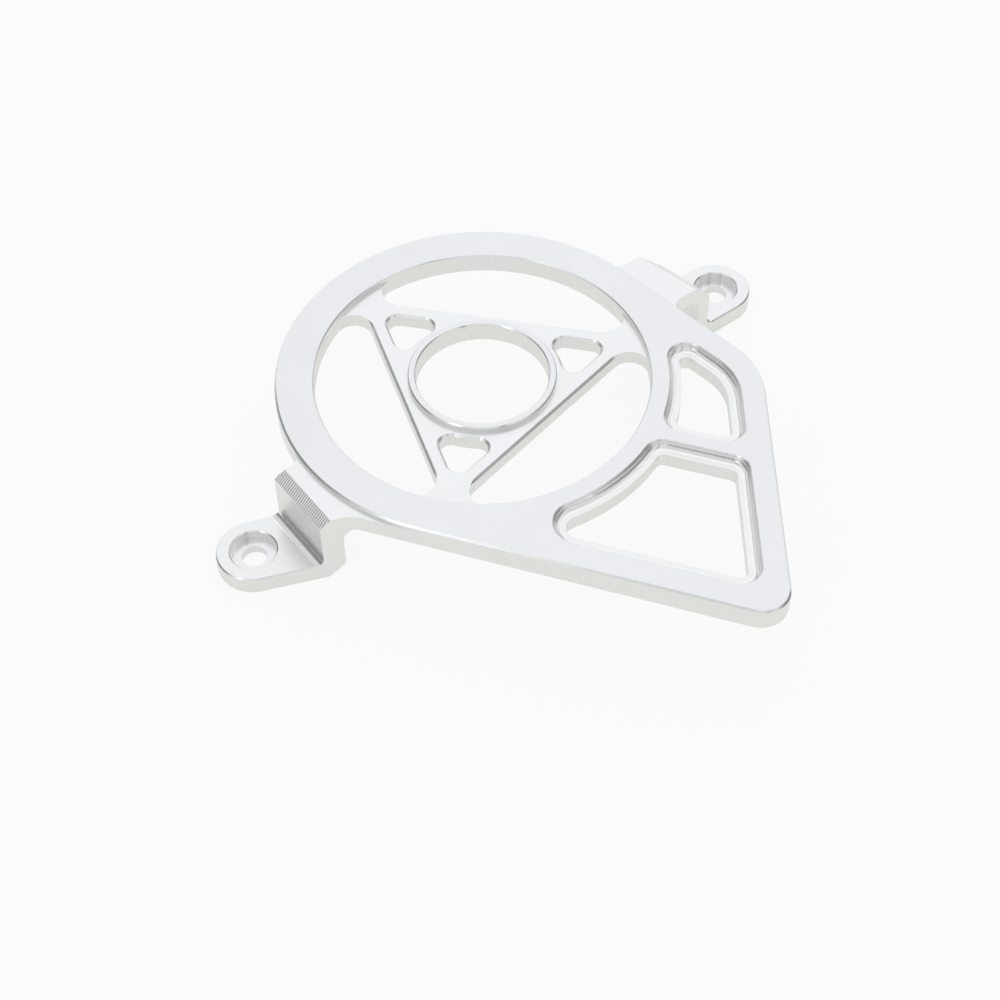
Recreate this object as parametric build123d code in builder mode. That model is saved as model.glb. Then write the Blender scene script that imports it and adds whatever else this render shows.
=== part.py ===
from build123d import *
from dataclasses import dataclass
from math import acos, cos, degrees, radians, sin, sqrt, tan
import os

# Engine case cover, milled from one block of aluminium. All sizes are in millimetres and degrees.
# The part stands on its two lugs: Z = 0 is the plane that they bolt down to, +Z points away from the
# engine, and the origin is the middle between the two screw holes. Angles count from +X towards +Y.

# Screws and lugs
HOLE_SPACING = 155.4
MOUNT_ANGLE = 36.6
SCREW_HOLE_R = 3.3
COUNTERBORE_R = 6.0
COUNTERBORE_DEPTH = 2.6
COUNTERBORE_CHAMFER = 0.3
LUG_R = 9.6
LUG_THICKNESS = 5.1
FOOT_CHAMFER = 4.2
WALL_FOOT_R = 2.2
ARCH_R = 4.0

# Ring, placed on the line through both screws
RING_OFFSET = 4.9
RING_TOP = 23.5
RING_INNER_R = 44.0
RING_OUTER_R = 54.1
PLATE_THICKNESS = 6.35
EDGE_CHAMFER = 0.5
FLANGE_STEP = 1.4

# Web inside the ring, with its collar, three segment windows and three small holes
WEB_STEP = 1.5
WEB_ANGLE = 18.6
WEB_SPOKES = 3
COLLAR_R = 19.5
BORE_R = 17.5
CHORD_DISTANCE = 22.0
SEGMENT_CORNER_R = 5.0
SPOKE_RIM = 4.0
SPOKE_HOLE_INNER_R = 21.5
SPOKE_HOLE_CORNER_R = 3.0
WEB_CHAMFER = 0.6
WEB_CHAMFER_CLEARANCE = 0.3
RIM_CHAMFER = 0.3
UNDERSIDE_CHAMFER = 0.75

# Wing that covers the sprocket side, with two stepped windows
FRONT_ANGLE = 252.0
UPPER_ANGLE = 43.9
RIGHT_EDGE = 73.2
FRONT_CORNER_R = 7.2
UPPER_CORNER_R = 24.5
RECESS_DEPTH = 2.2
RECESS_LEDGE = 3.05
RECESS_COVE_R = 1.8
WINDOW_INNER_R = 49.0
WINDOW_CORNER_R = 5.0
WINDOW_RIGHT_RIM = 6.4
LOWER_WINDOW_FRONT_RIM = 7.1
LOWER_WINDOW_HEIGHT = 38.6
LOWER_WINDOW_END_R = 6.6
UPPER_WINDOW_BACK_RIM = 7.0
UPPER_WINDOW_BAR = 4.0

# A corner of an outline counts as sharp when it turns by more than this angle
SHARP_TURN = 5.0
# Faces and edges count as lying at a height within this distance
HEIGHT_MATCH = 0.01

# Fine ridges across the slope at the top of each bracket
RIDGE_PITCH = 0.75
RIDGE_WIDTH = 0.5
RIDGE_DEPTH = 0.25


@dataclass(frozen=True)
class Bracket:
    """One bracket in its own frame: X runs from the ring's centre to its screw, Y is square to that."""

    reach: float
    tongue_turn: float
    crest: float
    crest_turn: float
    wall_outer: float
    wall_thickness: float
    right_blend_r: float
    left_blend_r: float


left_bracket = Bracket(
    reach=HOLE_SPACING / 2 - RING_OFFSET,
    tongue_turn=-21.9,
    crest=58.5,
    crest_turn=0.0,
    wall_outer=61.2,
    wall_thickness=5.2,
    right_blend_r=3.7,
    left_blend_r=7.0,
)
right_bracket = Bracket(
    reach=HOLE_SPACING / 2 + RING_OFFSET,
    tongue_turn=0.0,
    crest=63.4,
    crest_turn=11.4,
    wall_outer=70.8,
    wall_thickness=3.5,
    right_blend_r=3.7,
    left_blend_r=3.7,
)

# Derived heights and places
plate_underside = RING_TOP - PLATE_THICKNESS
flange_top = RING_TOP - FLANGE_STEP
web_top = RING_TOP - WEB_STEP
ring_x = -RING_OFFSET * cos(radians(MOUNT_ANGLE))
ring_y = -RING_OFFSET * sin(radians(MOUNT_ANGLE))
part_span = 2 * HOLE_SPACING


def ring_plane(height):
    """Level plane at a height, with its origin on the ring's axis."""
    return Plane(origin=(ring_x, ring_y, height))


def bracket_location(turn, height=0.0):
    """Place of a bracket's own frame: the ring's axis, turned to the bracket's side."""
    return Location((ring_x, ring_y, height), (0, 0, turn))


def crossing(line_a, line_b):
    """Point where two lines meet, each given by its normal's angle and its distance from the axis."""
    (angle_a, distance_a), (angle_b, distance_b) = line_a, line_b
    a, b = radians(angle_a), radians(angle_b)
    x = (distance_a * sin(b) - distance_b * sin(a)) / sin(b - a)
    y = (distance_b * cos(a) - distance_a * cos(b)) / sin(b - a)
    return (x, y)


def on_circle(radius, angle):
    """Point of a circle about the ring's axis."""
    return (radius * cos(radians(angle)), radius * sin(radians(angle)))


front_edge = (FRONT_ANGLE, RING_OUTER_R)
right_edge = (0.0, RIGHT_EDGE)
upper_edge = (UPPER_ANGLE, RING_OUTER_R)

# Plate outline: the ring's disc, and the wing whose front and upper edges are tangent to it
with BuildSketch() as plate_outline:
    Circle(RING_OUTER_R)
    with BuildLine():
        wing_path = FilletPolyline(
            on_circle(RING_OUTER_R, FRONT_ANGLE),
            crossing(front_edge, right_edge),
            crossing(right_edge, upper_edge),
            on_circle(RING_OUTER_R, UPPER_ANGLE),
            radius=[FRONT_CORNER_R, UPPER_CORNER_R],
        )
        Line(wing_path @ 1, wing_path @ 0)
    make_face()


def tongue_sketch(bracket, outer_limit):
    """Plan of a bracket from inside the ring to its rounded lug end, cut off at an outer limit."""
    length = bracket.reach - RING_INNER_R
    with BuildSketch() as tongue:
        with Locations(Location((bracket.reach, 0), bracket.tongue_turn)):
            Circle(LUG_R)
            Rectangle(length, 2 * LUG_R, align=(Align.MAX, Align.CENTER))
        Rectangle(outer_limit, 4 * bracket.reach, align=(Align.MIN, Align.CENTER), mode=Mode.INTERSECT)
    return tongue.sketch


def tongue_side(bracket, turn, side):
    """Line along one side of a tongue, by its normal and its distance.

    A side of 1 is the tongue's left, and -1 its right.
    """
    normal = bracket.tongue_turn + 90 * side
    return (turn + normal, bracket.reach * cos(radians(normal)) + LUG_R)


def ring_corner(bracket, turn, side):
    """Point where one side of a tongue meets the ring."""
    normal, distance = tongue_side(bracket, turn, side)
    return on_circle(RING_OUTER_R, normal - side * degrees(acos(distance / RING_OUTER_R)))


# Flange outline: the plate outline with both tongues, and round blends where they leave the ring.
# The wing's straight front runs on past the ring, as far as the left tongue.
left_turn = MOUNT_ANGLE + 180
right_turn = MOUNT_ANGLE
front_corner = crossing(front_edge, tongue_side(left_bracket, left_turn, 1))
blends = (
    (front_corner, left_bracket.left_blend_r),
    (ring_corner(left_bracket, left_turn, -1), left_bracket.right_blend_r),
    (ring_corner(right_bracket, right_turn, 1), right_bracket.left_blend_r),
    (ring_corner(right_bracket, right_turn, -1), right_bracket.right_blend_r),
)
with BuildSketch() as flange_outline:
    add(plate_outline.sketch)
    Polygon((0, 0), front_corner, on_circle(RING_OUTER_R, FRONT_ANGLE), align=None)
    with Locations(Location((0, 0), left_turn)):
        add(tongue_sketch(left_bracket, left_bracket.wall_outer))
    with Locations(Location((0, 0), right_turn)):
        add(tongue_sketch(right_bracket, right_bracket.wall_outer))
    for corner, blend_r in blends:
        fillet(flange_outline.vertices().sort_by_distance(corner)[0], blend_r)


def lug_bracket(bracket):
    """Bent bracket in its own frame: flange, wall and lug, with the arch and the foot chamfer inside."""
    wall_inner = bracket.wall_outer - bracket.wall_thickness
    inner_end = RING_INNER_R
    outer_end = bracket.reach + 2 * LUG_R
    with BuildPart() as body:
        with BuildSketch():
            add(tongue_sketch(bracket, outer_end))
        extrude(amount=flange_top)
        with BuildSketch(Plane.XZ):
            with BuildLine():
                outside = FilletPolyline(
                    (inner_end, flange_top),
                    (bracket.wall_outer, flange_top),
                    (bracket.wall_outer, LUG_THICKNESS),
                    (outer_end, LUG_THICKNESS),
                    radius=[0, WALL_FOOT_R],
                )
                Polyline(
                    outside @ 1,
                    (outer_end, 0),
                    (wall_inner + FOOT_CHAMFER, 0),
                    (wall_inner, FOOT_CHAMFER),
                    (wall_inner, plate_underside - ARCH_R),
                )
                RadiusArc(
                    (wall_inner, plate_underside - ARCH_R),
                    (wall_inner - ARCH_R, plate_underside),
                    -ARCH_R,
                )
                Polyline(
                    (wall_inner - ARCH_R, plate_underside),
                    (inner_end, plate_underside),
                    outside @ 0,
                )
            make_face()
        extrude(amount=part_span, both=True, mode=Mode.INTERSECT)
    return body.part


def segment_window(growth=0.0, wall_clearance=0.0):
    """Segment between a chord and the ring's inner wall, with its chord normal along X.

    Growth moves the chord outwards and widens the corners, and the clearance keeps off the ring's wall.
    """
    with BuildSketch() as window:
        Circle(RING_INNER_R - wall_clearance)
        with Locations((CHORD_DISTANCE - growth, 0)):
            Rectangle(
                RING_INNER_R,
                2 * RING_INNER_R,
                align=(Align.MIN, Align.CENTER),
                mode=Mode.INTERSECT,
            )
        fillet(window.vertices(), SEGMENT_CORNER_R + growth)
    return window.sketch


def spoke_hole():
    """Rounded triangle in the root of a spoke: two sides follow the windows, the third the collar."""
    half_angle = 180 / WEB_SPOKES
    side_distance = CHORD_DISTANCE - SPOKE_RIM
    apex = side_distance / cos(radians(half_angle))
    with BuildSketch() as hole:
        with BuildLine():
            Polyline(
                (apex, 0),
                (0, side_distance / sin(radians(half_angle))),
                (0, -side_distance / sin(radians(half_angle))),
                close=True,
            )
        make_face()
        Circle(SPOKE_HOLE_INNER_R, mode=Mode.SUBTRACT)
        hole_face = hole.faces().sort_by(Axis.X)[-1]
    with BuildSketch() as rounded:
        add(hole_face)
        fillet(rounded.vertices(), SPOKE_HOLE_CORNER_R)
    return rounded.sketch


def sharp_corners(outline):
    """Points where an outline turns suddenly, leaving out the ends of tangent arcs."""
    edges = outline.order_edges()
    pairs = zip(edges, edges[1:] + edges[:1])
    return [before @ 1 for before, after in pairs if (before % 1).get_angle(after % 0) > SHARP_TURN]


def wing_window(border, end_r):
    """Wing window: an outline less the disc that keeps the ring's rim, with its sharp corners rounded.

    The corner that lies furthest to the left gets a radius of its own.
    """
    with BuildSketch() as window:
        make_face(border.edges())
        Circle(WINDOW_INNER_R, mode=Mode.SUBTRACT)
    with BuildSketch() as rounded:
        add(window.faces().sort_by(Axis.X)[-1])
        corners = sharp_corners(rounded.face().outer_wire())
        left_end, *others = sorted(corners, key=lambda corner: corner.X)
        fillet([rounded.vertices().sort_by_distance(corner)[0] for corner in others], WINDOW_CORNER_R)
        fillet(rounded.vertices().sort_by_distance(left_end)[0], end_r)
    return rounded.sketch


def resized(sketch, amount):
    """The same outline, grown by an amount, or shrunk by a negative one."""
    with BuildSketch() as changed:
        offset(sketch, amount=amount)
    return changed.sketch


# Lower window: parallel to the front and right edges of the wing
lower_front = (FRONT_ANGLE, RING_OUTER_R - LOWER_WINDOW_FRONT_RIM)
lower_back = (FRONT_ANGLE, lower_front[1] - LOWER_WINDOW_HEIGHT)
window_right = (0.0, RIGHT_EDGE - WINDOW_RIGHT_RIM)
ring_side = (180.0, RING_OUTER_R - WINDOW_INNER_R)
with BuildLine() as lower_border:
    Polyline(
        crossing(lower_front, ring_side),
        crossing(lower_front, window_right),
        crossing(lower_back, window_right),
        crossing(lower_back, ring_side),
        close=True,
    )
lower_window = wing_window(lower_border.line, LOWER_WINDOW_END_R)

# Upper window: between the bar above the lower window and the wing's rounded upper corner
upper_front = (FRONT_ANGLE, lower_back[1] - UPPER_WINDOW_BAR)
upper_back = (UPPER_ANGLE, RING_OUTER_R - UPPER_WINDOW_BACK_RIM)
with BuildLine() as upper_border:
    upper_path = FilletPolyline(
        crossing(upper_front, ring_side),
        crossing(upper_front, window_right),
        crossing(window_right, upper_back),
        crossing(upper_back, (UPPER_ANGLE + 90, 0.0)),
        radius=[0, UPPER_CORNER_R - WINDOW_RIGHT_RIM],
    )
    Line(upper_path @ 1, upper_path @ 0)
upper_window = wing_window(upper_border.line, WINDOW_CORNER_R)


def crest_tool(bracket):
    """Wedge that bevels the top of a bracket, with a tooth for each fine groove down the slope.

    It lies in the crest's own frame: X runs outwards, Y along the crest, Z = 0 is the flange's top.
    """
    run = bracket.wall_outer - bracket.crest + bracket.wall_thickness
    width = 2 * LUG_R / cos(radians(bracket.tongue_turn)) + bracket.wall_thickness
    grooves = round(width / RIDGE_PITCH)
    slope = Plane(origin=(0, 0, 0), x_dir=(0, 1, 0), z_dir=(1, 0, -1))
    with BuildPart() as tool:
        with BuildSketch(Plane.XZ):
            with BuildLine():
                Polyline((0, 0), (run, 0), (run, -run), close=True)
            make_face()
        extrude(amount=width / 2, both=True)
        with BuildSketch(slope):
            with GridLocations(RIDGE_PITCH, 0, grooves, 1):
                Polygon((-RIDGE_WIDTH / 2, 0), (0, -RIDGE_DEPTH), (RIDGE_WIDTH / 2, 0), align=None)
        extrude(amount=run * sqrt(2))
    return tool.part


def crest_location(bracket, turn):
    """Place of the crest's frame: on the tongue's centre line, at the flange's top."""
    along = (bracket.reach - bracket.crest) * tan(radians(-bracket.tongue_turn))
    crest = Location((bracket.crest, along, 0), (0, 0, bracket.crest_turn))
    return bracket_location(turn, flange_top) * crest


# Tool that breaks the web's edges round its windows and holes, and fades out short of the ring's wall
window_angle = WEB_ANGLE + 180 / WEB_SPOKES
with BuildPart() as web_edge_tool:
    with BuildSketch():
        with PolarLocations(0, WEB_SPOKES, start_angle=window_angle):
            add(segment_window(WEB_CHAMFER, WEB_CHAMFER_CLEARANCE))
        with PolarLocations(0, WEB_SPOKES, start_angle=WEB_ANGLE):
            add(resized(spoke_hole(), WEB_CHAMFER))
    extrude(amount=-WEB_CHAMFER, taper=45)


with BuildPart() as engine_case_cover:
    # Plate of the ring and the wing, with its outer edge broken
    with BuildSketch(ring_plane(plate_underside)):
        add(plate_outline.sketch)
    extrude(amount=PLATE_THICKNESS)
    chamfer(engine_case_cover.faces().sort_by(Axis.Z)[-1].edges(), EDGE_CHAMFER)

    # Flanges, a step below the top, that carry the two brackets
    with BuildSketch(ring_plane(plate_underside)):
        add(flange_outline.sketch)
    extrude(amount=flange_top - plate_underside)

    # Wing windows: a through cut inside a shallow recess with a rounded foot
    with BuildSketch(ring_plane(RING_TOP)):
        add(lower_window)
        add(upper_window)
    extrude(amount=-RECESS_DEPTH, mode=Mode.SUBTRACT)
    recess_floors = engine_case_cover.faces().filter_by_position(
        Axis.Z, RING_TOP - RECESS_DEPTH, RING_TOP - RECESS_DEPTH
    )
    fillet(recess_floors.edges(), RECESS_COVE_R)
    recess_rims = engine_case_cover.faces().sort_by(Axis.Z)[-1].inner_wires()
    chamfer([edge for rim in recess_rims for edge in rim.edges()], RIM_CHAMFER)
    with BuildSketch(ring_plane(RING_TOP)):
        add(resized(lower_window, -RECESS_LEDGE))
        add(resized(upper_window, -RECESS_LEDGE))
    extrude(amount=-PLATE_THICKNESS, mode=Mode.SUBTRACT)

    # The two bent brackets, with their ridged slopes
    with Locations(bracket_location(left_turn)):
        add(lug_bracket(left_bracket))
    with Locations(bracket_location(right_turn)):
        add(lug_bracket(right_bracket))
    with Locations(crest_location(left_bracket, left_turn)):
        add(crest_tool(left_bracket), mode=Mode.SUBTRACT)
    with Locations(crest_location(right_bracket, right_turn)):
        add(crest_tool(right_bracket), mode=Mode.SUBTRACT)

    # Web, sunk below the ring, with the collar left standing round the bore
    with BuildSketch(ring_plane(RING_TOP)):
        Circle(RING_INNER_R)
        Circle(COLLAR_R, mode=Mode.SUBTRACT)
    extrude(amount=-WEB_STEP, mode=Mode.SUBTRACT)
    with BuildSketch(ring_plane(RING_TOP)):
        Circle(BORE_R)
    extrude(amount=-PLATE_THICKNESS, mode=Mode.SUBTRACT)
    rims = engine_case_cover.edges().filter_by(lambda edge: edge.is_closed).group_by(Axis.Z)[-1]
    chamfer(rims, RIM_CHAMFER)

    # Segment windows and spoke holes, with the web's edges broken round them
    with BuildSketch(ring_plane(web_top)):
        with PolarLocations(0, WEB_SPOKES, start_angle=window_angle):
            add(segment_window())
        with PolarLocations(0, WEB_SPOKES, start_angle=WEB_ANGLE):
            add(spoke_hole())
    extrude(amount=plate_underside - web_top, mode=Mode.SUBTRACT)
    with Locations(Location((ring_x, ring_y, web_top))):
        add(web_edge_tool.part, mode=Mode.SUBTRACT)
    underside = engine_case_cover.faces().filter_by_position(
        Axis.Z, plate_underside - HEIGHT_MATCH, plate_underside + HEIGHT_MATCH
    )[0]
    web_end = ring_x + RING_INNER_R + HEIGHT_MATCH
    lower_rims = [rim for rim in underside.inner_wires() if rim.bounding_box().max.X < web_end]
    chamfer([edge for rim in lower_rims for edge in rim.edges()], UNDERSIDE_CHAMFER)

    # Screw holes, counterbored for the heads
    for bracket, turn in ((left_bracket, left_turn), (right_bracket, right_turn)):
        with Locations(bracket_location(turn, LUG_THICKNESS) * Location((bracket.reach, 0, 0))):
            CounterBoreHole(SCREW_HOLE_R, COUNTERBORE_R, COUNTERBORE_DEPTH, depth=LUG_THICKNESS)
    counterbore_rims = engine_case_cover.edges().filter_by(
        lambda edge: edge.is_closed and abs(edge.center().Z - LUG_THICKNESS) < COUNTERBORE_CHAMFER
    )
    chamfer(counterbore_rims, COUNTERBORE_CHAMFER)

engine_case_cover.part.label = "engine_case_cover"
os.makedirs("parts", exist_ok=True)
export_step(engine_case_cover.part, "parts/engine_case_cover.step")
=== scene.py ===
"""Engine case cover: one piece of milled, silver anodised aluminium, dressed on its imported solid.

Lengths are in metres and the frame is the solid's own: Z = 0 is the plane that the two lugs bolt
down to, and the origin is the middle between the two screw holes.
"""

import logging
from dataclasses import dataclass, field
from enum import Enum
from math import cos, radians, sin

import bmesh
import bpy
from mathutils import Matrix, Vector


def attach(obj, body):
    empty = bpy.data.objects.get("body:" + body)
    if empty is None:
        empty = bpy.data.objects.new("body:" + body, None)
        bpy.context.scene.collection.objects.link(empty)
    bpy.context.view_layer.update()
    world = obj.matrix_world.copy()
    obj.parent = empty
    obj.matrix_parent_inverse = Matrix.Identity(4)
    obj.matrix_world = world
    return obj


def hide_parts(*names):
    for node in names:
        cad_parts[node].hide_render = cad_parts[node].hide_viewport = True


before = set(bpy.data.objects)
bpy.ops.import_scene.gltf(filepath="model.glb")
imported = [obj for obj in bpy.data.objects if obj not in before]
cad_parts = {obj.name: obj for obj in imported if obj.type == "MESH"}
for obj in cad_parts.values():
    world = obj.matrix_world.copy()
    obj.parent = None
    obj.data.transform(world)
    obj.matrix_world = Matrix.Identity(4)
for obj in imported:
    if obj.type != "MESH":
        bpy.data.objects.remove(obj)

MM = 0.001
NODE = "engine_case_cover"
BODY = "root"
WHITE = (1.0, 1.0, 1.0, 1.0)
RIGHT_ANGLE = radians(90)
MATRIX_SIZE = 4

# The sRGB curve: a straight line up to the knee and a power above it
BYTE_MAX = 255
SRGB_KNEE = 0.04045
SRGB_SLOPE = 12.92
SRGB_OFFSET = 0.055
SRGB_POWER = 2.4

log = logging.getLogger("cover")


def to_linear(hex_colour: str) -> tuple[float, float, float, float]:
    """Turns an sRGB hex colour into linear light.

    Args:
        hex_colour: Six hex digits, with or without a leading hash.

    Returns:
        Red, green and blue in linear light, and an alpha of 1.
    """
    digits = hex_colour.lstrip("#")
    shares = [int(digits[start : start + 2], 16) / BYTE_MAX for start in (0, 2, 4)]
    linear = [
        share / SRGB_SLOPE
        if share <= SRGB_KNEE
        else ((share + SRGB_OFFSET) / (1 + SRGB_OFFSET)) ** SRGB_POWER
        for share in shares
    ]
    return (*linear, 1.0)


def add_node(
    tree: bpy.types.NodeTree,
    kind: str,
    settings: dict[str, object] | None = None,
    inputs: dict[str | int, object] | None = None,
) -> bpy.types.Node:
    """Adds a node with its settings, its input values and its links.

    Args:
        tree: The tree that the node goes into.
        kind: The node's type name.
        settings: Values of the node's own properties.
        inputs: A value or an output socket for each named or numbered input.

    Returns:
        The new node.
    """
    node = tree.nodes.new(kind)
    for name, value in (settings or {}).items():
        setattr(node, name, value)
    for name, value in (inputs or {}).items():
        if isinstance(value, bpy.types.NodeSocket):
            tree.links.new(value, node.inputs[name])
        else:
            node.inputs[name].default_value = value
    return node


def add_object(name: str, data: bpy.types.ID) -> bpy.types.Object:
    """Makes an object and puts it in the scene.

    Args:
        name: The object's name.
        data: Its mesh, camera or light.

    Returns:
        The new object.
    """
    made = bpy.data.objects.new(name, data)
    bpy.context.scene.collection.objects.link(made)
    return made


class Cut(Enum):
    """How the milling cutter left a surface, which sets the finish that it shows; as faces are
    sorted by the way they are turned, that finish's colour also carries painted light.
    """

    FACE = "face milled"
    STEP = "floor milled"
    WALL = "side milled"
    COVE = "ball milled"
    BORE = "counterbored"
    BREAK = "edge broken"
    BELOW = "face milled below"


@dataclass(frozen=True)
class AnodisedFinish:
    """Silver anodised aluminium, as one kind of cut leaves it, with painted light in its colour for
    the way such faces are turned.

    The oxide layer keeps the metal's colour and softens its shine, so a flat face looks like satin,
    and a finely cut cove still mirrors its surroundings in bands.
    """

    name: str
    colour: str
    shade: str
    roughness: float
    roughness_spread: float
    grain_mm: tuple[float, float, float]
    grain_height_mm: float
    cloud_mm: float = 14.0
    cloud_detail: float = 3.0
    cloud_roughness: float = 0.5
    mark_detail: float = 2.0
    mark_roughness: float = 0.6
    mark_range: tuple[float, float] = (0.3, 0.7)

    def material(self) -> bpy.types.Material:
        """Builds the finish as a material.

        Returns:
            The material, with its colour, roughness and grain made by nodes.
        """
        made = bpy.data.materials.new(self.name)
        made.use_nodes = True
        tree = made.node_tree
        tree.nodes.clear()
        place = add_node(tree, "ShaderNodeTexCoord").outputs["Object"]

        # Broad faint clouds, as the anodising bath leaves them
        clouds = add_node(
            tree,
            "ShaderNodeTexNoise",
            {"noise_dimensions": "3D"},
            {
                "Vector": place,
                "Scale": 1 / (self.cloud_mm * MM),
                "Detail": self.cloud_detail,
                "Roughness": self.cloud_roughness,
            },
        ).outputs["Fac"]
        colour = add_node(
            tree,
            "ShaderNodeMix",
            {"data_type": "RGBA"},
            {"Factor": clouds, "A": to_linear(self.shade), "B": to_linear(self.colour)},
        )

        # Cutter marks, drawn about ten times as coarse as real ones so that they show
        stretched = add_node(
            tree,
            "ShaderNodeMapping",
            {"vector_type": "POINT"},
            {"Vector": place, "Scale": [1 / (pitch * MM) for pitch in self.grain_mm]},
        ).outputs["Vector"]
        marks = add_node(
            tree,
            "ShaderNodeTexNoise",
            {"noise_dimensions": "3D"},
            {
                "Vector": stretched,
                "Scale": 1.0,
                "Detail": self.mark_detail,
                "Roughness": self.mark_roughness,
            },
        ).outputs["Fac"]
        mark_low, mark_high = self.mark_range
        roughness = add_node(
            tree,
            "ShaderNodeMapRange",
            {},
            {
                "Value": marks,
                "From Min": mark_low,
                "From Max": mark_high,
                "To Min": self.roughness - self.roughness_spread,
                "To Max": self.roughness + self.roughness_spread,
            },
        ).outputs["Result"]
        bump = add_node(
            tree,
            "ShaderNodeBump",
            {},
            {"Height": marks, "Strength": 1.0, "Distance": self.grain_height_mm * MM},
        ).outputs["Normal"]
        shader = add_node(
            tree,
            "ShaderNodeBsdfPrincipled",
            {},
            {
                "Base Color": colour.outputs["Result"],
                "Metallic": 1.0,
                "Roughness": roughness,
                "Normal": bump,
            },
        )
        add_node(tree, "ShaderNodeOutputMaterial", {}, {"Surface": shader.outputs["BSDF"]})
        return made


# One anodised colour underlies every finish; the cool tint on level faces, the warm tint on walls,
# the lighter breaks and the darker underside are painted light
FINISHES: dict[Cut, AnodisedFinish] = {
    # Satin top of the ring, the wing and the collar: even and pale, with a painted cool reflection
    # tint
    Cut.FACE: AnodisedFinish(
        name="anodised_aluminium_face_milled",
        colour="F2F4F7",
        shade="ECEEF1",
        roughness=0.38,
        roughness_spread=0.03,
        grain_mm=(0.5, 0.5, 0.5),
        grain_height_mm=0.0006,
    ),
    # Floors of the web, the flanges, the ledges and the lugs: the same satin with the same painted
    # cool reflection tint, a shade smoother
    Cut.STEP: AnodisedFinish(
        name="anodised_aluminium_floor_milled",
        colour="F3F4F7",
        shade="EDEFF1",
        roughness=0.3,
        roughness_spread=0.03,
        grain_mm=(0.5, 0.5, 0.5),
        grain_height_mm=0.0004,
    ),
    # Walls cut by the side of an end mill: painted warmer as a reflection tint, with faint upright
    # flute marks
    Cut.WALL: AnodisedFinish(
        name="anodised_aluminium_side_milled",
        colour="F4F4F1",
        shade="EFEFEC",
        roughness=0.3,
        roughness_spread=0.04,
        grain_mm=(0.7, 0.7, 14.0),
        grain_height_mm=0.002,
    ),
    # Coves and fillets cut by a ball mill: smooth, with banded reflections
    Cut.COVE: AnodisedFinish(
        name="anodised_aluminium_ball_milled",
        colour="F5F6F5",
        shade="F0F1F0",
        roughness=0.16,
        roughness_spread=0.03,
        grain_mm=(2.0, 2.0, 2.0),
        grain_height_mm=0.0005,
    ),
    # Sides of the counterbores and screw holes: the smoothest, with faint rings from the cutter
    Cut.BORE: AnodisedFinish(
        name="anodised_aluminium_counterbored",
        colour="F3F4F3",
        shade="EDEEED",
        roughness=0.12,
        roughness_spread=0.03,
        grain_mm=(6.0, 6.0, 0.6),
        grain_height_mm=0.006,
    ),
    # Broken edges: narrow facets, painted lighter as a highlight
    Cut.BREAK: AnodisedFinish(
        name="anodised_aluminium_edge_broken",
        colour="F7F9FA",
        shade="F3F5F6",
        roughness=0.24,
        roughness_spread=0.02,
        grain_mm=(2.0, 2.0, 2.0),
        grain_height_mm=0.0005,
    ),
    # Underside: the same satin with slightly coarser marks, painted darker as shade
    Cut.BELOW: AnodisedFinish(
        name="anodised_aluminium_underside_milled",
        colour="EEF0F1",
        shade="E8EAEB",
        roughness=0.4,
        roughness_spread=0.05,
        grain_mm=(0.8, 0.8, 0.8),
        grain_height_mm=0.002,
    ),
}


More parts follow.
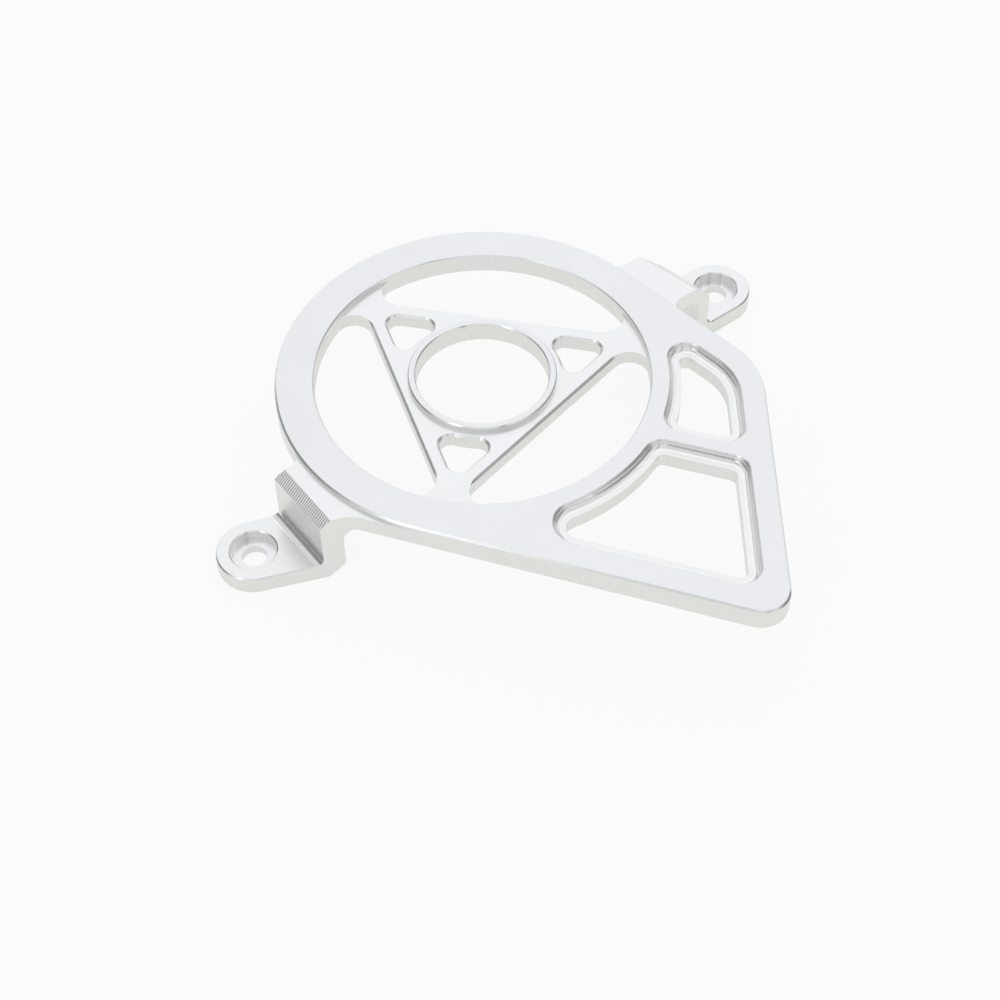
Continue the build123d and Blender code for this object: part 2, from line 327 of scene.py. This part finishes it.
@dataclass
class CoverBody:
    """The cover itself, the one piece of the object."""

    name: str = "cover_body"
    # How the solid's triangles are merged and shaded
    merge_distance: float = 0.002 * MM
    sharp_angle: float = radians(32)
    flat_weight: int = 85
    # Z of a face's normal when the face is level, upright or a 45 degree break, with its tolerance
    level: float = 0.999
    upright: float = 0.02
    broken: float = 0.7071
    broken_match: float = 0.01
    # Heights of the ring's top and the lugs' tops, and the break of the lugs' upper edges
    top: float = 23.5 * MM
    height_match: float = 0.1 * MM
    lug_top: float = 5.1 * MM
    lug_break: float = 0.35 * MM
    # The screws' place from the origin, and a radius just past a counterbore
    screw_reach: float = 77.7 * MM
    screw_angle: float = radians(36.6)
    counterbore: float = 6.5 * MM
    finishes: dict[Cut, AnodisedFinish] = field(default_factory=lambda: dict(FINISHES))

    def to_screw(self, point: Vector) -> float:
        """Measures how far a point lies from the nearer screw's axis.

        Args:
            point: Any point.

        Returns:
            The distance in plan.
        """
        screw = Vector((cos(self.screw_angle), sin(self.screw_angle))) * self.screw_reach
        return min((point.xy - screw).length, (point.xy + screw).length)

    def cut_of(self, face: bmesh.types.BMFace) -> Cut:
        """Tells which cut made a face.

        Args:
            face: A face of the merged mesh.

        Returns:
            The kind of cut, from the way that the face looks and from its height.
        """
        up = face.normal.z
        if up < -self.level:
            return Cut.BELOW
        middle = face.calc_center_median()
        if up > self.level:
            at_top = abs(middle.z - self.top) < self.height_match
            return Cut.FACE if at_top else Cut.STEP
        if abs(up) < self.upright:
            in_bore = middle.z < self.lug_top and self.to_screw(middle) < self.counterbore
            return Cut.BORE if in_bore else Cut.WALL
        if abs(up - self.broken) < self.broken_match:
            return Cut.BREAK
        return Cut.COVE

    def lug_edges(self, work: bmesh.types.BMesh) -> list[bmesh.types.BMEdge]:
        """Finds the upper outline of both lugs, without the counterbores.

        Args:
            work: The merged mesh.

        Returns:
            The edges between a lug's top and its side.
        """
        found = []
        for edge in work.edges:
            if any(abs(vertex.co.z - self.lug_top) > self.merge_distance for vertex in edge.verts):
                continue
            cuts = {self.cut_of(face) for face in edge.link_faces}
            middle = (edge.verts[0].co + edge.verts[1].co) / 2
            if cuts == {Cut.STEP, Cut.WALL} and self.to_screw(middle) > self.counterbore:
                found.append(edge)
        return found

    def mesh(self) -> bpy.types.Mesh:
        """Builds the piece's mesh from the solid's: merged, with round cuts smooth and edges sharp.

        Returns:
            The mesh, with a material number for each face's cut.
        """
        cuts = list(self.finishes)
        work = bmesh.new()
        work.from_mesh(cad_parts[NODE].data)
        bmesh.ops.remove_doubles(work, verts=work.verts, dist=self.merge_distance)
        work.normal_update()
        bmesh.ops.bevel(
            work,
            geom=self.lug_edges(work),
            offset=self.lug_break,
            offset_type="OFFSET",
            segments=1,
            profile=0.5,
            affect="EDGES",
        )
        work.normal_update()
        work.verts.index_update()
        points = [vertex.co.copy() for vertex in work.verts]
        faces = [[vertex.index for vertex in face.verts] for face in work.faces]
        numbers = [cuts.index(self.cut_of(face)) for face in work.faces]
        work.free()
        made = bpy.data.meshes.new(self.name)
        made.from_pydata(points, [], faces)
        made.polygons.foreach_set("material_index", numbers)
        made.polygons.foreach_set("use_smooth", [True] * len(faces))
        made.set_sharp_from_angle(angle=self.sharp_angle)
        made.update()
        return made

    def flattened(self, piece: bpy.types.Object) -> bpy.types.Mesh:
        """Gives flat faces their own flat shading where a round cut runs into them.

        Args:
            piece: The object that holds the merged mesh.

        Returns:
            A plain mesh with the shading kept in it.
        """
        weighted = piece.modifiers.new("flat_first", "WEIGHTED_NORMAL")
        weighted.keep_sharp = True
        weighted.weight = self.flat_weight
        ready = piece.evaluated_get(bpy.context.evaluated_depsgraph_get())
        made = bpy.data.meshes.new_from_object(ready)
        piece.modifiers.remove(weighted)
        return made

    def build(self) -> bpy.types.Object:
        """Builds and dresses the piece, and puts it in the solid's place.

        Returns:
            The finished piece.
        """
        piece = add_object(self.name, self.mesh())
        for finish in self.finishes.values():
            piece.data.materials.append(finish.material())
        piece.data = self.flattened(piece)
        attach(piece, BODY)
        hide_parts(NODE)
        return piece


@dataclass(frozen=True)
class LightStep:
    """A smooth change of the tent's light from one level to another, over a span of directions."""

    start: float
    end: float
    before: float
    after: float


@dataclass(frozen=True)
class SoftBox:
    """A square soft box, with its place and side in metres and its power in watts."""

    name: str
    place: tuple[float, float, float]
    side: float
    power: float


@dataclass
class Studio:
    """Camera, pale floor and soft light round the object."""

    # Camera: its angles, its sensor and lens in millimetres, and its place
    elevation: float = radians(50.712)
    roll: float = radians(-0.644)
    sensor: float = 36.0
    lens: float = 68.146
    eye: tuple[float, float, float] = (0.32 * MM, -341.18 * MM, 384.34 * MM)
    # Floor: half its side, its colour, and how white it shows to the camera and to shiny surfaces
    floor_half: float = 0.4
    floor_colour: str = "F4F4F3"
    floor_seen: float = 0.88
    floor_mirrored: float = 0.56
    # Tent: its strength, and how it dims at the horizon, at both sides and along the seams
    sky_strength: float = 0.76
    horizon: LightStep = LightStep(start=0.0, end=0.1, before=0.35, after=1.0)
    sides: LightStep = LightStep(start=0.72, end=0.95, before=1.0, after=0.35)
    seam_place: float = 0.38
    seam: LightStep = LightStep(start=0.0, end=0.08, before=0.3, after=1.0)
    soft_boxes: tuple[SoftBox, ...] = (
        SoftBox(name="back_soft_box", place=(0.2, 0.8, 1.4), side=2.0, power=3.4),
        SoftBox(name="front_left_soft_box", place=(-0.8, -1.0, 0.95), side=0.5, power=0.5),
    )

    def camera(self) -> bpy.types.Object:
        """Places the camera at the photograph's angle.

        Returns:
            The camera object, which is also the scene's camera.
        """
        data = bpy.data.cameras.new("camera")
        data.sensor_width = self.sensor
        data.lens = self.lens
        camera = add_object("camera", data)
        tilted = Matrix.Rotation(RIGHT_ANGLE - self.elevation, MATRIX_SIZE, "X")
        turned = tilted @ Matrix.Rotation(self.roll, MATRIX_SIZE, "Z")
        camera.matrix_world = Matrix.Translation(Vector(self.eye)) @ turned
        bpy.context.scene.camera = camera
        return camera

    def floor(self) -> bpy.types.Object:
        """Makes the floor under the lugs.

        Returns:
            The floor.
        """
        half = self.floor_half
        data = bpy.data.meshes.new("floor")
        corners = [(-half, -half, 0), (half, -half, 0), (half, half, 0), (-half, half, 0)]
        data.from_pydata(corners, [], [(0, 1, 2, 3)])
        floor = add_object("floor", data)
        data.materials.append(self.floor_material())
        return floor

    def floor_material(self) -> bpy.types.Material:
        """Makes matt white paper that shows nearly white to the camera and keeps a soft shadow.

        Returns:
            The material.
        """
        made = bpy.data.materials.new("white_paper_floor")
        made.use_nodes = True
        tree = made.node_tree
        tree.nodes.clear()
        paper = add_node(
            tree, "ShaderNodeBsdfDiffuse", {}, {"Color": to_linear(self.floor_colour)}
        ).outputs["BSDF"]
        white = add_node(tree, "ShaderNodeEmission", {}, {"Strength": 1.0}).outputs["Emission"]
        path = add_node(tree, "ShaderNodeLightPath")
        mirrored = add_node(
            tree,
            "ShaderNodeMath",
            {"operation": "MULTIPLY"},
            {0: path.outputs["Is Glossy Ray"], 1: self.floor_mirrored},
        ).outputs["Value"]
        seen = add_node(
            tree,
            "ShaderNodeMath",
            {"operation": "MULTIPLY_ADD"},
            {0: path.outputs["Is Camera Ray"], 1: self.floor_seen, 2: mirrored},
        ).outputs["Value"]
        shown = add_node(tree, "ShaderNodeMixShader", {}, {0: seen, 1: paper, 2: white})
        add_node(tree, "ShaderNodeOutputMaterial", {}, {"Surface": shown.outputs["Shader"]})
        return made

    def sky(self) -> None:
        """Lights the scene from all round, as a soft tent does.

        It is bright above and dimmer at both sides, with a dark line at the horizon and a soft dark
        seam to each side of the panel overhead. Smooth coves mirror those as thin bands.
        """
        world = bpy.data.worlds.new("studio_tent")
        bpy.context.scene.world = world
        world.use_nodes = True
        tree = world.node_tree
        tree.nodes.clear()

        # How far a direction looks sideways, and how far it is from a seam
        direction = add_node(tree, "ShaderNodeTexCoord").outputs["Generated"]
        parts = add_node(tree, "ShaderNodeSeparateXYZ", {}, {"Vector": direction})
        sideways = add_node(
            tree, "ShaderNodeMath", {"operation": "ABSOLUTE"}, {0: parts.outputs["X"]}
        ).outputs["Value"]
        past_seam = add_node(
            tree, "ShaderNodeMath", {"operation": "SUBTRACT"}, {0: sideways, 1: self.seam_place}
        ).outputs["Value"]
        from_seam = add_node(
            tree, "ShaderNodeMath", {"operation": "ABSOLUTE"}, {0: past_seam}
        ).outputs["Value"]

        # The light's level, one smooth step after the other
        level = self.sky_strength
        for value, step in (
            (parts.outputs["Z"], self.horizon),
            (sideways, self.sides),
            (from_seam, self.seam),
        ):
            share = add_node(
                tree,
                "ShaderNodeMapRange",
                {"interpolation_type": "SMOOTHSTEP"},
                {
                    "Value": value,
                    "From Min": step.start,
                    "From Max": step.end,
                    "To Min": step.before,
                    "To Max": step.after,
                },
            ).outputs["Result"]
            level = add_node(
                tree, "ShaderNodeMath", {"operation": "MULTIPLY"}, {0: share, 1: level}
            ).outputs["Value"]

        # The camera itself sees plain white
        light = add_node(tree, "ShaderNodeBackground", {}, {"Color": WHITE, "Strength": level})
        seen = add_node(tree, "ShaderNodeBackground", {}, {"Color": WHITE, "Strength": 1.0})
        path = add_node(tree, "ShaderNodeLightPath")
        shown = add_node(
            tree,
            "ShaderNodeMixShader",
            {},
            {
                0: path.outputs["Is Camera Ray"],
                1: light.outputs["Background"],
                2: seen.outputs["Background"],
            },
        )
        add_node(tree, "ShaderNodeOutputWorld", {}, {"Surface": shown.outputs["Shader"]})

    def lamp(self, box: SoftBox) -> bpy.types.Object:
        """Hangs a soft box that faces the object.

        Args:
            box: The soft box.

        Returns:
            The lamp object.
        """
        data = bpy.data.lights.new(box.name, "AREA")
        data.shape = "SQUARE"
        data.size = box.side
        data.energy = box.power
        lamp = add_object(box.name, data)
        place = Vector(box.place)
        lamp.location = place
        lamp.rotation_euler = (-place).to_track_quat("-Z", "Y").to_euler()
        return lamp

    def build(self) -> None:
        """Sets up the camera, the floor, the sky and the lamps."""
        bpy.context.scene.view_settings.view_transform = "Standard"
        self.camera()
        self.floor()
        self.sky()
        for box in self.soft_boxes:
            self.lamp(box)


def main() -> None:
    """Builds the object and its studio."""
    logging.basicConfig(level=logging.INFO, format="%(name)s: %(message)s")
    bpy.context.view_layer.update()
    piece = CoverBody().build()
    log.info("%s: %d faces, %d finishes", piece.name, len(piece.data.polygons), len(FINISHES))
    Studio().build()
    log.info("studio ready")


if __name__ == "__main__":
    main()
